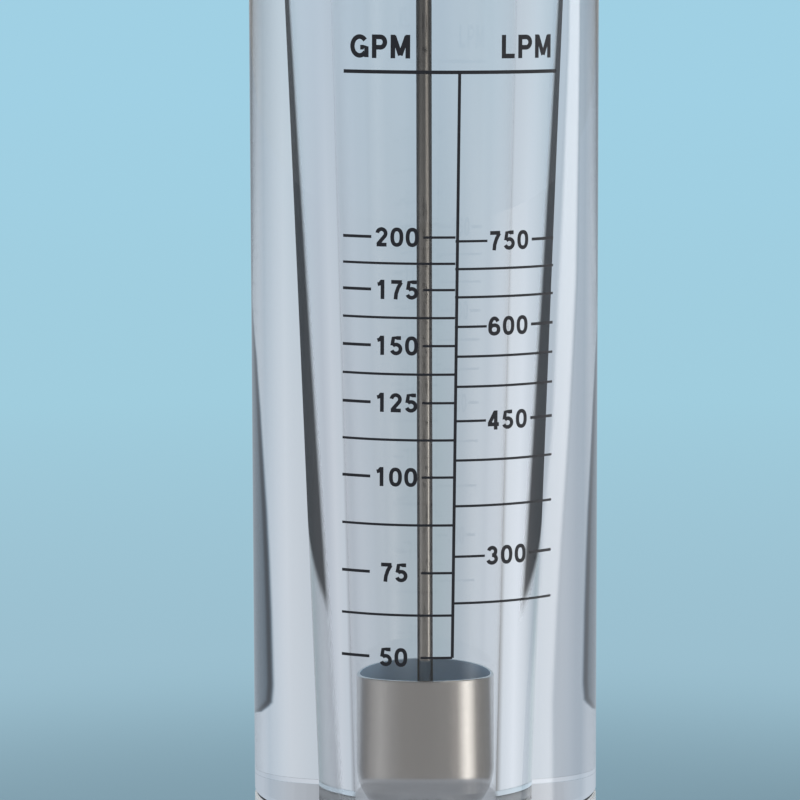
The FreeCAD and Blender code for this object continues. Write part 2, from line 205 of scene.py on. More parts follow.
def vary(nodes, links, noise, socket, low, high):
    """Spreads a noise between two values of a socket."""
    spread = add_node(nodes, "MapRange", To_Min=low, To_Max=high)
    links.new(noise.outputs["Fac"], spread.inputs["Value"])
    links.new(spread.outputs["Result"], socket)


acrylic_colour = (0.985, 0.992, 1.0, 1)


def acrylic(name, smooth, dull, grain):
    """Clear cast acrylic whose roughness runs between the two values."""
    finish, nodes, links, shader = new_finish(name)
    shader.inputs["Base Color"].default_value = acrylic_colour
    shader.inputs["Transmission Weight"].default_value = 1
    shader.inputs["IOR"].default_value = 1.49
    noise = add_grain(nodes, links, shader, grain, 0.002 * mm, 0.1)
    vary(nodes, links, noise, shader.inputs["Roughness"], smooth, dull)
    return finish, nodes, links, shader


# The bore carries painted shade, which shows only at a glancing angle, as a dark line down
# each side. The edge table gives how glancing the view is at the line's edge, at two heights. It
# ends low in the taper in a slant; a weaker trace of it goes on below, on the -X side.
bore_shade_colour = (0.075, 0.078, 0.088, 1)
BORE_SHADE_EDGE = ((160 * mm, 0.497), (333 * mm, 0.735))
bore_shade_end_low = 137 * mm
bore_shade_end_high = 146 * mm
bore_shade_end_slant = 55 * mm
bore_shade_below = 0.3
bore_shade_side = 10 * mm
polished_acrylic_painted_shade = acrylic("polished_acrylic_painted_shade", 0.0, 0.01, 6 * mm)[0]
turned_acrylic, nodes, links, shader = acrylic("turned_acrylic", 0.25, 0.4, 0.6 * mm)
shader.inputs["Transmission Weight"].default_value = 0.85
bore_acrylic_painted_shade, nodes, links, shader = acrylic("bore_acrylic_painted_shade", 0.0, 0.01, 6 * mm)
shader.inputs["Specular IOR Level"].default_value = 0
place = add_node(nodes, "TexCoord")
apart = add_node(nodes, "SeparateXYZ")
glance = add_node(nodes, "LayerWeight", Blend=0.5)
(low, low_edge), (high, high_edge) = BORE_SHADE_EDGE
edge = add_node(
    nodes, "MapRange", clamp=False, From_Min=low, From_Max=high, To_Min=low_edge, To_Max=high_edge
)
past = add_node(nodes, "Math", operation="SUBTRACT")
bore_shade_band = add_node(
    nodes, "MapRange", interpolation_type="SMOOTHSTEP", From_Min=-0.04, From_Max=0.05
)
reach = add_node(
    nodes, "MapRange", interpolation_type="SMOOTHSTEP", From_Min=bore_shade_end_low,
    From_Max=bore_shade_end_high,
)
slant = add_node(nodes, "Math", -bore_shade_end_slant, operation="MULTIPLY_ADD")
rest = add_node(
    nodes, "MapRange", From_Min=-bore_shade_side, From_Max=bore_shade_side, To_Min=bore_shade_below, To_Max=0.0
)
reached = add_node(nodes, "Math", operation="MULTIPLY")
side = add_node(nodes, "NewGeometry")
inner = add_node(nodes, "Math", operation="MULTIPLY")
clear = add_node(nodes, "MapRange", To_Min=1.0, To_Max=0.08)
# Mixes in the dark painted shade and lowers the transmission where it lies.
tint = add_node(nodes, "Mix", data_type="RGBA")
tint.inputs["A"].default_value = acrylic_colour
tint.inputs["B"].default_value = bore_shade_colour
links.new(place.outputs["Object"], apart.inputs[0])
links.new(apart.outputs["Z"], edge.inputs["Value"])
links.new(past.outputs[0], slant.inputs[0])
links.new(apart.outputs["Z"], slant.inputs[2])
links.new(slant.outputs[0], reach.inputs["Value"])
links.new(apart.outputs["X"], rest.inputs["Value"])
links.new(rest.outputs["Result"], reach.inputs["To Min"])
links.new(glance.outputs["Facing"], past.inputs[0])
links.new(edge.outputs["Result"], past.inputs[1])
links.new(past.outputs[0], bore_shade_band.inputs["Value"])
links.new(bore_shade_band.outputs["Result"], reached.inputs[0])
links.new(reach.outputs["Result"], reached.inputs[1])
links.new(reached.outputs[0], inner.inputs[0])
links.new(side.outputs["Backfacing"], inner.inputs[1])
links.new(inner.outputs[0], clear.inputs["Value"])
links.new(clear.outputs["Result"], shader.inputs["Transmission Weight"])
links.new(inner.outputs[0], tint.inputs["Factor"])
links.new(tint.outputs["Result"], shader.inputs["Base Color"])

# The polished outside carries painted shade: it is greyer toward its edge, and down its lower
# half it also shows a painted dark line, which leaves the edge over the middle of the scale and
# ends beside the float. LINE_PLACE gives how glancing the view is at the line for each height,
# and the table after it the painted shade across the line.
PAINTED_EDGE_SHADE = ((0.42, 1.0), (0.54, 0.72), (0.62, 0.58), (0.72, 0.75), (1.0, 0.6))
off_edge = 1.1
line_ramp_height = 400
LINE_PLACE = (
    (0, off_edge), (104, off_edge), (108, 0.8), (112, 0.66), (118, 0.638), (141, 0.648),
    (157, 0.664), (173, 0.689), (189, 0.73), (205, 0.775), (221, 0.841), (235, 0.95),
    (250, off_edge), (line_ramp_height, off_edge),
)
line_inside = -0.1
line_outside = 0.4
PAINTED_LINE_SHADE = (
    (line_inside, 1.0), (-0.065, 1.0), (-0.05, 0.64), (-0.038, 0.21), (-0.026, 0.023),
    (-0.01, 0.001), (0.015, 0.0003), (0.03, 0.003), (0.06, 0.03), (0.1, 0.042),
    (line_outside, 0.05),
)
line_lean = 0.04


def fill_ramp(ramp, low, high, stops):
    """Sets a ramp's stops, each a place between the two ends and a colour."""
    marks = ramp.color_ramp.elements
    while len(marks) < len(stops):
        marks.new(0.5)
    for mark, (place, colour) in zip(marks, stops):
        mark.position = (place - low) / (high - low)
    for mark, (place, colour) in zip(marks, stops):
        mark.color = (*colour, 1)


def with_hue(stops, hue):
    """Turns levels into colours; hue holds the power of the level in red, green and blue."""
    return [(place, [level ** power for power in hue]) for place, level in stops]


nodes, links = polished_acrylic_painted_shade.node_tree.nodes, polished_acrylic_painted_shade.node_tree.links
shader = nodes["Principled BSDF"]
place = add_node(nodes, "TexCoord")
apart = add_node(nodes, "SeparateXYZ")
glance = add_node(nodes, "LayerWeight", Blend=0.5)
side = add_node(nodes, "NewGeometry")
outer = add_node(nodes, "Math", operation="SUBTRACT", use_clamp=True)
tint = add_node(nodes, "ValToRGB")
fill_ramp(tint, 0, 1, with_hue(PAINTED_EDGE_SHADE, (1.3, 1.0, 0.82)))
tall = add_node(nodes, "Math", line_ramp_height * mm, operation="DIVIDE")
line_place = add_node(nodes, "ValToRGB")
grey_places = [(height, [glance_there / off_edge] * 3) for height, glance_there in LINE_PLACE]
fill_ramp(line_place, 0, line_ramp_height, grey_places)
lean = add_node(nodes, "Math", -line_lean / tube_radius, operation="MULTIPLY_ADD")
from_line = add_node(nodes, "Math", -off_edge, operation="MULTIPLY_ADD")
off_line = add_node(nodes, "MapRange", From_Min=line_inside, From_Max=line_outside)
line_tint = add_node(nodes, "ValToRGB")
fill_ramp(line_tint, line_inside, line_outside, with_hue(PAINTED_LINE_SHADE, (1.13, 1.0, 0.93)))
shade = add_node(nodes, "Mix", data_type="RGBA", blend_type="MULTIPLY", Factor=1)
links.new(place.outputs["Object"], apart.inputs[0])
links.new(apart.outputs["Z"], tall.inputs[0])
links.new(tall.outputs[0], line_place.inputs["Fac"])
links.new(glance.outputs["Facing"], outer.inputs[0])
links.new(side.outputs["Backfacing"], outer.inputs[1])
links.new(outer.outputs[0], tint.inputs["Fac"])
links.new(apart.outputs["X"], lean.inputs[0])
links.new(outer.outputs[0], lean.inputs[2])
links.new(line_place.outputs["Color"], from_line.inputs[0])
links.new(lean.outputs[0], from_line.inputs[2])
links.new(from_line.outputs[0], off_line.inputs["Value"])
links.new(off_line.outputs["Result"], line_tint.inputs["Fac"])
links.new(tint.outputs["Color"], shade.inputs["A"])
links.new(line_tint.outputs["Color"], shade.inputs["B"])
links.new(shade.outputs["Result"], shader.inputs["Base Color"])
for finish in (polished_acrylic_painted_shade, turned_acrylic, bore_acrylic_painted_shade):
    metering_tube.data.materials.append(finish)
for face in metering_tube.data.polygons:
    height = face.center.z
    if math.hypot(face.center.x, face.center.y) < bore_large + 2 * mm:
        face.material_index = 2
    elif height < lower_shoulder - close_enough or height > upper_shoulder + close_enough:
        face.material_index = 1
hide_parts("metering_tube")
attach(metering_tube, "meter")

# Printed scale. Black ink screened on the outside of the tube, two ladders of marks either side
# of one upright line, for gallons and litres a minute. Both read off the same calibration, so
# the marks crowd together where the bore is wide.
SCALE_CALIBRATION = (
    (50, 0), (75, 26.4), (100, 56.0), (125, 78.9), (150, 96.4), (175, 113.5), (200, 129.5),
)
LITRES_PER_GALLON = 3.785
scale_start = lower_shoulder + 52.3 * mm
heading_line_height = scale_start + 179.4 * mm
heading_height = heading_line_height + 4.1 * mm
scale_tilt = math.radians(0.5)
upright_place = 8.8 * mm
upright_lean = 0.9 * mm
gallons_edge = -26.3 * mm
gallons_mark_end = -17.0 * mm
gallons_text_end = -2.0 * mm
two_digit_shift = 2.7 * mm
inner_mark_start = -1.0 * mm
litres_mark_end = 18.9 * mm
litres_text_start = 19.0 * mm
litres_edge_mark = 34.5 * mm
litres_edge = 43.5 * mm
heading_line_end = 44.3 * mm
gallons_heading_place = -24.1 * mm
litres_heading_place = 22.9 * mm
gallons_pitch = 4.7 * mm
litres_pitch = 4.85 * mm
digit_height = 5.9 * mm
heading_letter_height = 7.1 * mm
stroke_share = 0.2
letter_gap = 0.9 * mm
mark_width = 0.75 * mm
numbered_mark_width = mark_width * 1.2
upright_width = 0.95 * mm
heading_line_width = 1.1 * mm
ink_proud = 0.05 * mm
ink_sunk = 0.02 * mm
wrap_step = 1.2 * mm


def bow(across, up, wide, high, start, end):
    """Points along an elliptic arc, from start to end in degrees."""
    count = max(3, round(abs(end - start) / 15))
    angles = [math.radians(start + (end - start) * n / count) for n in range(count + 1)]
    return [(across + wide * math.cos(a), up + high * math.sin(a)) for a in angles]


def loop(across, up, wide, high, squareness):
    """A closed oval that is fuller than an ellipse."""
    points = []
    for n in range(28):
        angle = 2 * math.pi * n / 28
        c, s = math.cos(angle), math.sin(angle)
        x = math.copysign(abs(c) ** (2 / squareness), c)
        y = math.copysign(abs(s) ** (2 / squareness), s)
        points.append((across + wide * x, up + high * y))
    return points + points[:1]


# Centre lines of the characters, in shares of their height, and each character's width.
GLYPHS = {
    "0": (0.68, [loop(0.34, 0.5, 0.24, 0.4, 2.4)]),
    "1": (0.6, [[(0.36, 0), (0.36, 1)], [(0.1, 0.76), (0.22, 0.79), (0.33, 0.93)]]),
    "2": (0.68, [
        bow(0.33, 0.68, 0.22, 0.22, 175, -35) + [(0.14, 0.12)],
        [(0.07, 0.1), (0.6, 0.1)],
    ]),
    "3": (0.68, [bow(0.32, 0.7, 0.2, 0.2, 165, -90), bow(0.32, 0.305, 0.235, 0.205, 90, -165)]),
    "4": (0.68, [
        [(0.46, 0), (0.46, 1)],
        [(0.43, 0.94), (0.1, 0.32)],
        [(0.02, 0.28), (0.64, 0.28)],
    ]),
    "5": (0.68, [
        [(0.59, 0.9), (0.19, 0.9), (0.13, 0.5)],
        bow(0.33, 0.33, 0.235, 0.23, 135, -160),
    ]),
    "6": (0.68, [
        loop(0.34, 0.32, 0.24, 0.22, 2.2),
        [(0.1, 0.3), (0.1, 0.5)] + bow(0.34, 0.5, 0.24, 0.4, 180, 35),
    ]),
    "7": (0.68, [[(0.06, 0.9), (0.62, 0.9)], [(0.58, 0.88), (0.42, 0.6), (0.32, 0.3), (0.29, 0)]]),
    "G": (0.84, [
        bow(0.43, 0.5, 0.33, 0.4, 40, 320),
        [(0.46, 0.45), (0.74, 0.45), (0.74, 0.03)],
    ]),
    "L": (0.62, [[(0.12, 1), (0.12, 0)], [(0.12, 0.1), (0.6, 0.1)]]),
    "M": (0.86, [
        [(0.11, 0), (0.11, 1)],
        [(0.75, 0), (0.75, 1)],
        [(0.15, 0.94), (0.43, 0.13)],
        [(0.71, 0.94), (0.43, 0.13)],
    ]),
    "P": (0.7, [
        [(0.12, 0), (0.12, 1)],
        [(0.12, 0.9), (0.4, 0.9)] + bow(0.4, 0.68, 0.19, 0.22, 90, -90)[1:] + [(0.12, 0.46)],
    ]),
}
ink = bmesh.new()


def wrap(across, up, out):
    """A point of the flat print, turned by its tilt and wound on the tube."""
    middle = scale_start + 90 * mm
    angle = (across + (up - middle) * math.sin(scale_tilt)) / tube_radius
    height = up - (across - upright_place) * math.sin(scale_tilt)
    reach = tube_radius + out
    return reach * math.sin(angle), -reach * math.cos(angle), height


def ink_stroke(points, width):
    """One closed strip of ink about a centre line given on the flat print."""
    fine = [points[0]]
    for start, end in zip(points, points[1:]):
        parts = max(1, math.ceil(abs(end[0] - start[0]) / wrap_step))
        for part in range(1, parts + 1):
            t = part / parts
            fine.append((start[0] + (end[0] - start[0]) * t, start[1] + (end[1] - start[1]) * t))
    sections = []
    for n, (across, up) in enumerate(fine):
        before = Vector(fine[max(n - 1, 0)])
        after = Vector(fine[min(n + 1, len(fine) - 1)])
        if fine[0] == fine[-1] and n in (0, len(fine) - 1):
            before, after = Vector(fine[-2]), Vector(fine[1])
        along = (after - before).normalized()
        side = Vector((-along.y, along.x)) * width / 2
        corners = ((side, ink_proud), (-side, ink_proud), (-side, -ink_sunk), (side, -ink_sunk))
        sections.append([ink.verts.new(wrap(across + s.x, up + s.y, out)) for s, out in corners])
    for section, following in zip(sections, sections[1:]):
        for n in range(4):
            after = (n + 1) % 4
            ink.faces.new((section[n], section[after], following[after], following[n]))
    if fine[0] != fine[-1]:
        ink.faces.new(sections[0])
        ink.faces.new(sections[-1][::-1])


def ink_text(text, left, base, height, pitch=None, stretch=1.0):
    """A number at an even pitch, or, without a pitch, a word set by its letters' widths."""
    for character in text:
        width, strokes = GLYPHS[character]
        wide = height * stretch
        start = left + (pitch - width * wide) / 2 if pitch else left
        for stroke in strokes:
            points = [(start + x * wide, base + y * height) for x, y in stroke]
            ink_stroke(points, stroke_share * height)
        left += pitch or width * wide + letter_gap


def scale_place(gallons):
    """Height of a flow on the tube, read from the calibration."""
    for (low, start), (high, end) in zip(SCALE_CALIBRATION, SCALE_CALIBRATION[1:]):
        if gallons <= high:
            break
    return scale_start + (start + (end - start) * (gallons - low) / (high - low)) * mm


for step in range(13):
    gallons = 50 + 12.5 * step
    height = scale_place(gallons)
    if step % 2:
        ink_stroke([(gallons_edge, height), (upright_place, height)], mark_width)
        continue
    number = str(int(gallons))
    left = gallons_text_end - gallons_pitch * len(number)
    if len(number) == 2:
        left -= two_digit_shift
    ink_stroke([(gallons_edge, height), (gallons_mark_end, height)], numbered_mark_width)
    ink_text(number, left, height - digit_height / 2, digit_height, gallons_pitch)
    ink_stroke([(inner_mark_start, height), (upright_place, height)], mark_width)
for litres in range(250, 751, 50):
    height = scale_place(litres / LITRES_PER_GALLON)
    if litres % 150:
        ink_stroke([(upright_place, height), (litres_edge, height)], mark_width)
        continue
    base = height - digit_height / 2
    ink_stroke([(upright_place, height), (litres_mark_end, height)], mark_width)
    ink_text(str(litres), litres_text_start, base, digit_height, litres_pitch)
    ink_stroke([(litres_edge_mark, height), (litres_edge, height)], numbered_mark_width)
upright = ((upright_place, scale_start), (upright_place + upright_lean, heading_line_height))
ink_stroke(upright, upright_width)
heading_line = ((gallons_edge, heading_line_height), (heading_line_end, heading_line_height))
ink_stroke(heading_line, heading_line_width)
ink_text("GPM", gallons_heading_place, heading_height, heading_letter_height)
ink_text("LPM", litres_heading_place, heading_height, heading_letter_height, stretch=1.1)
bmesh.ops.recalc_face_normals(ink, faces=ink.faces)
printed_scale = put_in_scene("printed_scale", ink)
screen_ink, nodes, links, shader = new_finish("screen_ink")
shader.inputs["Base Color"].default_value = (0.008, 0.009, 0.014, 1)
noise = add_grain(nodes, links, shader, 0.4 * mm, 0.01 * mm, 0.3)
vary(nodes, links, noise, shader.inputs["Roughness"], 0.45, 0.6)
printed_scale.data.materials.append(screen_ink)
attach(printed_scale, "meter")

# Rod supports. A moulded grey ring with three arms and a hub, one at each end; the ring is
# clamped between the adapter's seat and the end face of the tube.
support_plastic, nodes, links, shader = new_finish("support_plastic")
shader.inputs["Base Color"].default_value = (0.52, 0.53, 0.52, 1)
noise = add_grain(nodes, links, shader, 0.5 * mm, 0.02 * mm, 0.4)
vary(nodes, links, noise, shader.inputs["Roughness"], 0.4, 0.55)


def refinish(finish, *names):
    """Gives that finish to nodes that keep their own shape."""
    for name in names:
        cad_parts[name].data.materials.clear()
        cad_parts[name].data.materials.append(finish)


refinish(support_plastic, "lower_rod_support", "upper_rod_support", "upper_stop_sleeve")


def turned_steel(name, colour, smooth, dull, mark, depth, edge=1.0):
    """Steel with fine marks that run round the axis; edge sets its painted shade at a glance."""
    finish, nodes, links, shader = new_finish(name)
    # Painted shade: the colour dims by edge toward the edges, where the surface is seen at a
    # glance.
    glance = add_node(nodes, "LayerWeight", Blend=0.5)
    edging = add_node(
        nodes, "MapRange", interpolation_type="SMOOTHSTEP", From_Min=0.15, From_Max=0.5
    )
    painted_edge_shade = add_node(nodes, "Mix", data_type="RGBA")
    painted_edge_shade.inputs["A"].default_value = (*colour, 1)
    painted_edge_shade.inputs["B"].default_value = (*[channel * edge for channel in colour], 1)
    links.new(glance.outputs["Facing"], edging.inputs["Value"])
    links.new(edging.outputs["Result"], painted_edge_shade.inputs["Factor"])
    links.new(painted_edge_shade.outputs["Result"], shader.inputs["Base Color"])
    shader.inputs["Metallic"].default_value = 1
    place = add_node(nodes, "TexCoord")
    flat = add_node(nodes, "VectorMath", (1, 1, 0), operation="MULTIPLY")
    out = add_node(nodes, "VectorMath", operation="LENGTH")
    apart = add_node(nodes, "SeparateXYZ")
    travel = add_node(nodes, "Math", operation="ADD")
    round_axis = add_node(nodes, "VectorMath", operation="NORMALIZE")
    slow = add_node(nodes, "VectorMath", operation="SCALE", Scale=0.6)
    fast = add_node(nodes, "Math", mark, operation="DIVIDE")
    lift = add_node(nodes, "CombineXYZ")
    joined = add_node(nodes, "VectorMath", operation="ADD")
    noise = add_node(nodes, "TexNoise", Scale=1.0, Detail=3.0)
    bump = add_node(nodes, "Bump", Strength=0.5, Distance=depth)
    links.new(place.outputs["Object"], flat.inputs[0])
    links.new(flat.outputs[0], out.inputs[0])
    links.new(flat.outputs[0], round_axis.inputs[0])
    links.new(round_axis.outputs[0], slow.inputs[0])
    links.new(place.outputs["Object"], apart.inputs[0])
    links.new(out.outputs["Value"], travel.inputs[0])
    links.new(apart.outputs["Z"], travel.inputs[1])
    links.new(travel.outputs[0], fast.inputs[0])
    links.new(fast.outputs[0], lift.inputs["Z"])
    links.new(slow.outputs[0], joined.inputs[0])
    links.new(lift.outputs[0], joined.inputs[1])
    links.new(joined.outputs[0], noise.inputs["Vector"])
    links.new(noise.outputs["Fac"], bump.inputs["Height"])
    links.new(bump.outputs["Normal"], shader.inputs["Normal"])
    vary(nodes, links, noise, shader.inputs["Roughness"], smooth, dull)
    return finish


# Guide rod. Ground stainless bar, 5 mm across, with a threaded end through each hub; its
# colour is painted nearly black toward its edges, as shade.
rod_steel = turned_steel("rod_steel", (0.38, 0.37, 0.355), 0.06, 0.12, 0.25 * mm, 0.002 * mm, 0.04)
refinish(rod_steel, "guide_rod")

# Nuts and washers. Bright zinc-plated steel, one of each behind either hub.
plated_steel = turned_steel("plated_steel", (0.7, 0.71, 0.72), 0.2, 0.35, 0.3 * mm, 0.004 * mm)
refinish(plated_steel, "lower_rod_nut", "upper_rod_nut", "lower_rod_washer", "upper_rod_washer")

# Float. Turned from stainless bar, with a cup in its top and a rounded cone below; a guide bush
# is pressed in at each end and runs on the rod.
float_low, float_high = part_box("float")
float_radius = float_high.x
float_steel = turned_steel("float_steel", (0.57, 0.56, 0.55), 0.13, 0.2, 0.35 * mm, 0.003 * mm)
# The cup's steel is tinted blue, a painted reflection of the blue surroundings.
dull_steel_painted_reflection = turned_steel("dull_steel_painted_reflection", (0.60, 0.74, 0.86), 0.45, 0.6, 0.5 * mm, 0.01 * mm)
cone_height = 24 * mm
side_rounding = 20 * mm
bush_hole = 4.49 * mm
cup_radius = float_radius - 1.2 * mm
cup_floor = float_high.z - 12 * mm
tip_radius = 7.98 * mm
cone = Vector((float_radius - tip_radius, cone_height)).normalized()
turn_angle = math.pi / 2 - math.atan2(cone.y, cone.x)
reach = side_rounding * math.tan(turn_angle / 2)
corner = Vector((float_radius, float_low.z + cone_height))
arc_centre = Vector((float_radius - side_rounding, corner.y + reach))
shoulder = []
for step in range(17):
    angle = -turn_angle * (1 - step / 16)
    shoulder.append((
        arc_centre.x + side_rounding * math.cos(angle),
        arc_centre.y + side_rounding * math.sin(angle),
    ))
float_outline = [(bush_hole, float_low.z), (tip_radius - 0.4 * mm, float_low.z)]
float_outline += [(tip_radius + 0.2 * mm, float_low.z + 0.2 * mm)] + shoulder
float_outline += soften(
    [
        (float_radius, float_high.z - 1 * mm),
        (float_radius, float_high.z),
        (cup_radius, float_high.z),
        (cup_radius, cup_floor),
        (bush_hole, cup_floor),
    ],
    0.3 * mm,
)[3:16]
float_outline += [(bush_hole, cup_floor)]
float_body = spin("turned_float", float_outline)
float_body.data.materials.append(float_steel)
float_body.data.materials.append(dull_steel_painted_reflection)
for face in float_body.data.polygons:
    in_cup = math.hypot(face.center.x, face.center.y) < cup_radius + 0.1 * mm
    if in_cup and face.center.z > cup_floor - 1 * mm:
        face.material_index = 1
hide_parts("float")
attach(float_body, "float")
ptfe, nodes, links, shader = new_finish("ptfe")
shader.inputs["Base Color"].default_value = (0.82, 0.82, 0.8, 1)
noise = add_grain(nodes, links, shader, 0.7 * mm, 0.01 * mm, 0.3)
vary(nodes, links, noise, shader.inputs["Roughness"], 0.35, 0.5)
refinish(ptfe, "float_lower_bush", "float_upper_bush")

# Seals and bumpers. Black nitrile rubber: a ring in each nose groove, a flat gasket under each
# shoulder, and a bumper at either end of the float's travel.
rubber, nodes, links, shader = new_finish("black_rubber")
shader.inputs["Base Color"].default_value = (0.018, 0.018, 0.019, 1)
noise = add_grain(nodes, links, shader, 0.6 * mm, 0.02 * mm, 0.4)
vary(nodes, links, noise, shader.inputs["Roughness"], 0.5, 0.7)
refinish(rubber, "inlet_seal_ring", "outlet_seal_ring", "inlet_gasket", "outlet_gasket")
refinish(rubber, "lower_bumper", "upper_bumper")

# Adapters. White moulded plastic, with a wrench section round a tapped pipe thread at the outer
# end and a socket for the tube's spigot at the other. The rod support sits in a seat inside.
pipe_thread_radius = 36.115 * mm
pipe_pitch = 2.309 * mm
pipe_thread_depth = 1.48 * mm
pipe_depth = 34 * mm
wrench_flat = 48.015 * mm
wrench_length = 28 * mm
wrench_sides = 8
adapter_rounding = 0.5 * mm
ADAPTER_CORNERS = (
    (38.6, 0), (49.8, 0), (51.415, 1.6), (51.415, 28), (51.415, 28.01), (55, 33), (55, 78.2),
    (54.2, 79), (47.15, 79), (46.15, 78), (46.15, 59), (44.7, 59), (43.7, 58), (43.7, 46),
    (37.8, 46), (37.8, 42), (31, 42), (31, 34), (36.115, 34),
)
white_plastic, nodes, links, shader = new_finish("white_plastic")
shader.inputs["Base Color"].default_value = (0.78, 0.79, 0.78, 1)
noise = add_grain(nodes, links, shader, 0.8 * mm, 0.02 * mm, 0.35)
vary(nodes, links, noise, shader.inputs["Roughness"], 0.32, 0.46)


def make_adapter(name, node, base, up):
    """One adapter, from its pipe end inward."""

    def shape(radius, height, angle):
        local = (height - base) * up
        if radius > wrench_flat and local < wrench_length + close_enough / 2:
            off = (angle + math.pi / wrench_sides) % (2 * math.pi / wrench_sides)
            return min(radius, wrench_flat / math.cos(off - math.pi / wrench_sides))
        in_thread = abs(radius - pipe_thread_radius) < close_enough
        if in_thread and local < pipe_depth - 0.1 * mm:
            fade = min(1, (pipe_depth - 1.5 * mm - local) / (2 * mm))
            turns = local / pipe_pitch - up * angle / (2 * math.pi)
            return radius + pipe_thread_depth * max(fade, 0) * thread_groove(turns)
        return radius

    corners = [(radius * mm, height * mm) for radius, height in ADAPTER_CORNERS]
    rounded = soften(corners[5:7] + corners[8:9], adapter_rounding)
    outline = corners[:5] + rounded[:8] + corners[7:]
    rows = 110
    for row in range(rows + 1):
        height = pipe_depth - (pipe_depth - 2.5 * mm) * (row + 0.5) / (rows + 0.5)
        outline.append((pipe_thread_radius, height))
    outline = [(radius, base + up * height) for radius, height in outline]
    piece = spin(name, outline, carve=shape)
    piece.data.materials.append(white_plastic)
    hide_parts(node)
    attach(piece, "meter")


make_adapter("moulded_inlet_adapter", "inlet_adapter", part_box("inlet_adapter")[0].z, 1)
make_adapter("moulded_outlet_adapter", "outlet_adapter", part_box("outlet_adapter")[1].z, -1)

# Floor and backdrop. A wide pale floor that runs to the horizon, and the same blue beyond it.
# Glass and metal see the floor as whiter, as they would on a lit table.
# Past the object's shadow the camera sees the floor as a glow, greyer and darker near the object
# and bluer far out: painted shade on the floor.
far_colour = (0.352, 0.631, 0.775)
near_colour = (0.279, 0.434, 0.521)
floor_fade = 6.0
FLOOR_COLOURS = (
    (0.31, near_colour), (0.63, (0.328, 0.521, 0.624)), (1.6, (0.352, 0.610, 0.730)),
    (3.5, (0.352, 0.624, 0.760)), (floor_fade, far_colour),
)
shadow_reach = 0.25
fade_reach = 0.6
floor_radius = 20.0
work = bmesh.new()
bmesh.ops.create_circle(work, cap_ends=True, radius=floor_radius, segments=96)
floor = put_in_scene("floor", work)

# What glass and metal see on the table: each stop is an azimuth from straight behind, right
# positive, and the light there.
TABLE_LIGHT = (
    (-180, (0.34, 0.335, 0.33)), (-150, (0.35, 0.345, 0.34)), (-134, (0.42, 0.42, 0.42)),
    (-118, (0.60, 0.60, 0.60)), (-104, (0.44, 0.44, 0.44)), (-92, (0.25, 0.25, 0.26)),
    (-84, (0.25, 0.27, 0.30)), (-76, (0.52, 0.58, 0.65)), (-62, (0.56, 0.61, 0.68)),
    (-46, (0.45, 0.50, 0.57)), (-28, (0.47, 0.53, 0.60)), (-10, (0.405, 0.475, 0.54)),
    (4, (0.375, 0.463, 0.517)), (14, (0.43, 0.50, 0.57)), (32, (0.58, 0.64, 0.71)),
    (54, (0.68, 0.74, 0.82)), (75, (0.60, 0.66, 0.73)), (83, (0.25, 0.26, 0.27)),
    (93, (0.28, 0.28, 0.28)), (108, (0.36, 0.35, 0.34)), (115, (1.2, 1.15, 1.08)),
    (123, (1.85, 1.78, 1.68)), (129, (1.3, 1.25, 1.18)), (137, (0.52, 0.5, 0.48)),
    (150, (0.36, 0.355, 0.35)), (180, (0.34, 0.335, 0.33)),
)


def azimuth_light(nodes, links, lights):
    """Colour that changes with the direction from the object's axis."""
    place = add_node(nodes, "TexCoord")
    apart = add_node(nodes, "SeparateXYZ")
    azimuth = add_node(nodes, "Math", operation="ARCTAN2")
    turn = add_node(nodes, "MapRange", From_Min=-math.pi, From_Max=math.pi)
    ramp = add_node(nodes, "ValToRGB")
    fill_ramp(ramp, -180, 180, lights)
    links.new(place.outputs["Object"], apart.inputs[0])
    links.new(apart.outputs["X"], azimuth.inputs[0])
    links.new(apart.outputs["Y"], azimuth.inputs[1])
    links.new(azimuth.outputs[0], turn.inputs["Value"])
    links.new(turn.outputs["Result"], ramp.inputs["Fac"])
    return ramp.outputs["Color"], apart.outputs["Z"]


floor_finish, nodes, links, shader = new_finish("floor_finish")
shader.inputs["Roughness"].default_value = 0.9
shader.inputs["Specular IOR Level"].default_value = 0
shader.inputs["Base Color"].default_value = (*near_colour, 1)
place = add_node(nodes, "TexCoord")
out = add_node(nodes, "VectorMath", operation="LENGTH")
spread = add_node(nodes, "ValToRGB")
fill_ramp(spread, 0, floor_fade, FLOOR_COLOURS)
scaled = add_node(nodes, "MapRange", From_Max=floor_fade)
glow = add_node(nodes, "Emission")
table = add_node(nodes, "Emission")
links.new(azimuth_light(nodes, links, TABLE_LIGHT)[0], table.inputs["Color"])
path = add_node(nodes, "LightPath")
through = add_node(nodes, "Math", operation="MAXIMUM")
shine = add_node(nodes, "MixShader")
fade = add_node(
    nodes, "MapRange", interpolation_type="SMOOTHSTEP", From_Min=shadow_reach, From_Max=fade_reach
)
lit = add_node(nodes, "MixShader")
seen = add_node(nodes, "MixShader")
links.new(place.outputs["Object"], out.inputs[0])
links.new(out.outputs["Value"], scaled.inputs["Value"])
links.new(out.outputs["Value"], fade.inputs["Value"])
links.new(scaled.outputs["Result"], spread.inputs["Fac"])
links.new(spread.outputs["Color"], glow.inputs["Color"])
links.new(fade.outputs["Result"], lit.inputs["Fac"])
links.new(shader.outputs[0], lit.inputs[1])
links.new(glow.outputs[0], lit.inputs[2])
links.new(path.outputs["Is Glossy Ray"], through.inputs[0])
links.new(path.outputs["Is Transmission Ray"], through.inputs[1])
links.new(path.outputs["Is Camera Ray"], seen.inputs["Fac"])
links.new(through.outputs[0], shine.inputs["Fac"])
links.new(shader.outputs[0], shine.inputs[1])
links.new(table.outputs[0], shine.inputs[2])
links.new(shine.outputs[0], seen.inputs[1])
links.new(lit.outputs[0], seen.inputs[2])
links.new(seen.outputs[0], nodes["Material Output"].inputs["Surface"])
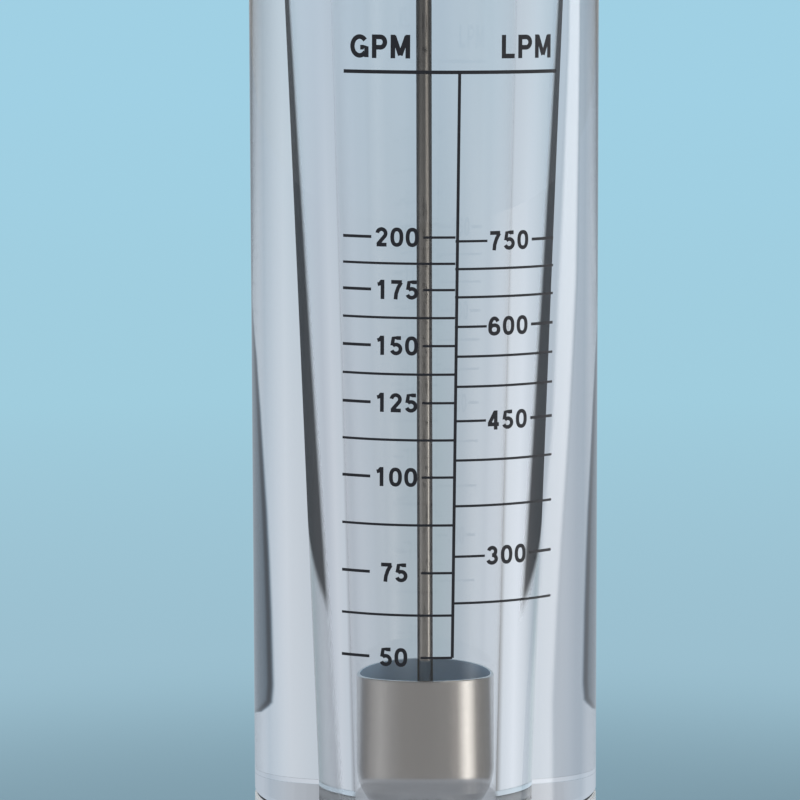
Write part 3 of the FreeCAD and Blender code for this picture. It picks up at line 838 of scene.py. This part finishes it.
floor.data.materials.append(floor_finish)

world = bpy.data.worlds.new("studio")
world.use_nodes = True
bpy.context.scene.world = world
nodes, links = world.node_tree.nodes, world.node_tree.links
surround = nodes["Background"]
surround.inputs["Color"].default_value = (0.95, 0.98, 1.0, 1)
surround.inputs["Strength"].default_value = 0.55
horizon = add_node(nodes, "Background", Color=(*far_colour, 1))
path = add_node(nodes, "LightPath")
seen = add_node(nodes, "MixShader")
links.new(path.outputs["Is Camera Ray"], seen.inputs["Fac"])
links.new(surround.outputs[0], seen.inputs[1])
links.new(horizon.outputs[0], seen.inputs[2])
links.new(seen.outputs[0], nodes["World Output"].inputs["Surface"])

# Light tent. A drum of lit cloth round the table that only glass and what stands behind glass
# can see: pale blue behind, dark in front with one warm lamp on the right, and the table's own
# light near its foot.
tent_radius = 0.9
tent_height = 1.6
TENT_LIGHT = (
    (-180, (0.12, 0.12, 0.12)), (-150, (0.17, 0.17, 0.17)), (-136, (0.2, 0.2, 0.2)),
    (-120, (0.1, 0.1, 0.1)), (-100, (0.06, 0.06, 0.065)), (-86, (0.10, 0.11, 0.12)),
    (-76, (0.45, 0.54, 0.63)), (-60, (0.47, 0.57, 0.67)), (-30, (0.46, 0.57, 0.67)),
    (-10, (0.45, 0.565, 0.66)), (5, (0.44, 0.555, 0.655)), (22, (0.48, 0.60, 0.69)),
    (43, (0.53, 0.64, 0.73)), (60, (0.53, 0.62, 0.70)), (76, (0.50, 0.58, 0.66)),
    (86, (0.10, 0.10, 0.10)), (100, (0.06, 0.06, 0.06)), (118, (0.12, 0.115, 0.11)),
    (134, (0.6, 0.56, 0.5)), (148, (0.75, 0.71, 0.66)), (162, (0.2, 0.2, 0.2)),
    (180, (0.12, 0.12, 0.12)),
)
work = bmesh.new()
bmesh.ops.create_cone(
    work, cap_ends=False, radius1=tent_radius, radius2=tent_radius, depth=tent_height, segments=128
)
bmesh.ops.translate(work, verts=work.verts, vec=(0, 0, tent_height / 2))
tent = put_in_scene("light_tent", work)
tent_cloth, nodes, links, shader = new_finish("tent_cloth")
nodes.remove(shader)
low_light = azimuth_light(nodes, links, TABLE_LIGHT)[0]
high_light, height = azimuth_light(nodes, links, TENT_LIGHT)
rise = add_node(nodes, "MapRange", interpolation_type="SMOOTHSTEP", From_Min=0.04, From_Max=0.24)
cloth = add_node(nodes, "Mix", data_type="RGBA")
glow = add_node(nodes, "Emission")
links.new(height, rise.inputs["Value"])
links.new(rise.outputs["Result"], cloth.inputs["Factor"])
links.new(low_light, cloth.inputs["A"])
links.new(high_light, cloth.inputs["B"])
links.new(cloth.outputs["Result"], glow.inputs["Color"])
links.new(glow.outputs[0], nodes["Material Output"].inputs["Surface"])
tent.data.materials.append(tent_cloth)


def show_only(piece, ray):
    """Hides a stage light from every kind of ray but that one, and stops it casting a shadow."""
    for kind in ("camera", "diffuse", "glossy", "transmission", "shadow"):
        setattr(piece, f"visible_{kind}", kind == ray)


show_only(tent, "transmission")

# Bright card. A slanted strip of lit cloth on the right, seen only as a shine down the outside
# of the tube. Each row is a height, and the azimuths of its two edges.
card_radius = 0.25
card_columns = 12
CARD_ROWS = (
    (0.0, 89, 119), (0.05, 91, 116), (0.09, 88, 111), (0.13, 83, 106), (0.17, 77, 99),
    (0.23, 69, 94), (0.33, 66, 83), (0.44, 66, 78),
)
work = bmesh.new()
fades = work.verts.layers.float_color.new("fade")
rows = []
for height, start, end in CARD_ROWS:
    rows.append([])
    for column in range(card_columns + 1):
        share = column / card_columns
        angle = math.radians(start + (end - start) * share)
        spot = (card_radius * math.sin(angle), card_radius * math.cos(angle), height)
        corner = work.verts.new(spot)
        level = min(1, 3 * math.sin(math.pi * share) ** 2)
        corner[fades] = (level, level, level, 1)
        rows[-1].append(corner)
for row, following in zip(rows, rows[1:]):
    for n in range(card_columns):
        work.faces.new((row[n], row[n + 1], following[n + 1], following[n]))
card = put_in_scene("bright_card", work)
card_cloth, nodes, links, shader = new_finish("card_cloth")
nodes.remove(shader)
fade = add_node(nodes, "Attribute", attribute_name="fade")
glow = add_node(nodes, "Emission", Strength=4.0)
links.new(fade.outputs["Color"], glow.inputs["Color"])
links.new(glow.outputs[0], nodes["Material Output"].inputs["Surface"])
card.data.materials.append(card_cloth)
show_only(card, "glossy")

# Joint lights. A lit sleeve and a lit ring just inside each threaded end, seen only through the
# acrylic, for the daylight that the white sockets throw back into it from all round.
sleeve_light_radius = thread_radius - 2.15 * mm
sleeve_light_height = 20.4 * mm
ring_light_inner = relief_radius
ring_light_outer = tube_radius - 0.3 * mm
ring_light_lift = 0.1 * mm
square_on_strength = 0.6
glance_span = 0.28


def light_joint(name, low_radius, high_radius, depth, middle, full_glance):
    """A lit band round the axis, weaker to what looks square on to it."""
    work = bmesh.new()
    bmesh.ops.create_cone(
        work, cap_ends=False, radius1=low_radius, radius2=high_radius, depth=depth,
        segments=TURN_SIDES,
    )
    bmesh.ops.translate(work, verts=work.verts, vec=(0, 0, middle))
    light = put_in_scene(name, work)
    cloth, nodes, links, shader = new_finish(f"{name}_cloth")
    nodes.remove(shader)
    glow = add_node(nodes, "Emission", Color=(0.57, 0.62, 0.69, 1))
    glance = add_node(nodes, "LayerWeight", Blend=0.5)
    dim = add_node(
        nodes, "MapRange", From_Min=full_glance - glance_span, From_Max=full_glance,
        To_Min=square_on_strength,
    )
    links.new(glance.outputs["Facing"], dim.inputs["Value"])
    links.new(dim.outputs["Result"], glow.inputs["Strength"])
    links.new(glow.outputs[0], nodes["Material Output"].inputs["Surface"])
    light.data.materials.append(cloth)
    show_only(light, "transmission")


for port, base, up in (("lower", lower_shoulder, 1), ("upper", upper_shoulder, -1)):
    light_joint(
        f"{port}_sleeve_light", sleeve_light_radius, sleeve_light_radius, sleeve_light_height,
        base - up * sleeve_light_height / 2, 0.4,
    )
    light_joint(
        f"{port}_ring_light", ring_light_inner, ring_light_outer, close_enough,
        base + up * ring_light_lift, 0.88,
    )

# Lamps. Two large soft boxes in front.
for name, place, size, power in (
    ("key_lamp", (-0.9, -1.1, 1.2), 0.8, 12),
    ("fill_lamp", (1.1, -0.9, 0.7), 0.8, 6),
):
    light = bpy.data.lights.new(name, "AREA")
    light.size = size
    light.energy = power
    lamp = bpy.data.objects.new(name, light)
    lamp.location = place
    aim = Vector((0, 0, 0.2)) - Vector(place)
    lamp.rotation_euler = aim.to_track_quat("-Z", "Y").to_euler()
    lamp.visible_glossy = False
    lamp.visible_transmission = False
    bpy.context.scene.collection.objects.link(lamp)

# Camera. A long lens a little above the tube's middle, looking slightly down.
view_target = Vector((-7.85 * mm, 0, 205.2 * mm))
view_distance = 1224 * mm
view_drop = math.radians(7.35)
view_roll = math.radians(-0.16)
lens = bpy.data.cameras.new("camera")
lens.lens = 172.7
lens.sensor_width = 36
lens.clip_end = 100
camera = bpy.data.objects.new("camera", lens)
back = Vector((0, -math.cos(view_drop), math.sin(view_drop)))
camera.location = view_target + back * view_distance
aim = (-back).to_track_quat("-Z", "Y")
camera.rotation_euler = aim.to_euler()
camera.rotation_euler.rotate_axis("Z", view_roll)
bpy.context.scene.collection.objects.link(camera)
bpy.context.scene.camera = camera
bpy.context.scene.view_settings.view_transform = "Standard"
